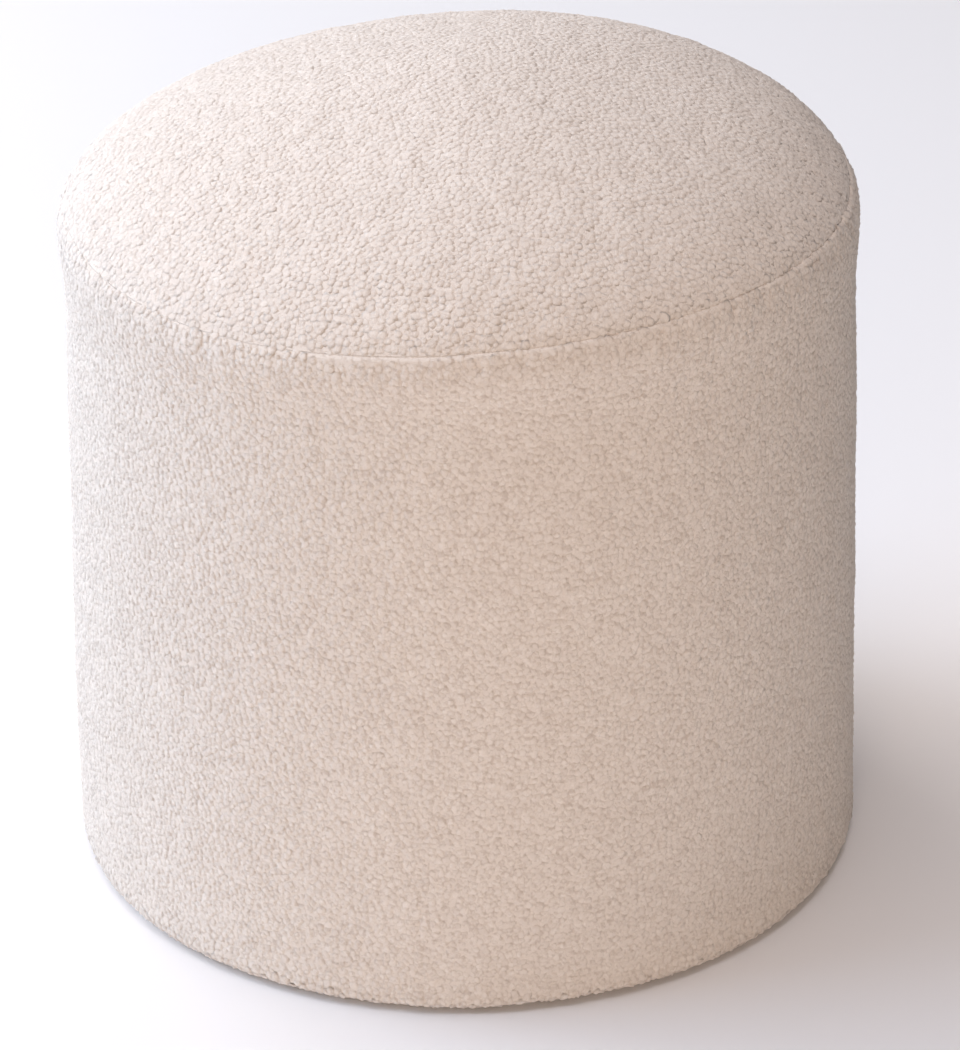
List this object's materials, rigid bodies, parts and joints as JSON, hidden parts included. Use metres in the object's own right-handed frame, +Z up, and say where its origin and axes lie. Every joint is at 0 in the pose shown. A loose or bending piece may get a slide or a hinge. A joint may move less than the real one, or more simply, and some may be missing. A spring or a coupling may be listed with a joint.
{
  "type": "pouf",
  "caption": "Round upholstered pouf: an upright drum in a band of looped cloth, with a softly crowned seat panel and a flat underside.",
  "frame": {"origin": "middle of the underside, on the surface that the pouf stands on", "axes": "+Z up, along the drum's axis; the side that faces the camera is at -Y, and +X is to its right"},
  "size_m": [0.4038, 0.4016, 0.42],
  "materials": {
    "side_boucle": "cream boucle, matt, small tight loops",
    "top_boucle": "cream boucle, matt, small tight loops",
    "base_cloth": "plain dark base cloth, matt"
  },
  "bodies": {
    "root": {"side_panel": "side_boucle", "top_panel": "top_boucle", "base_panel": "base_cloth"}
  },
  "joints": []
}
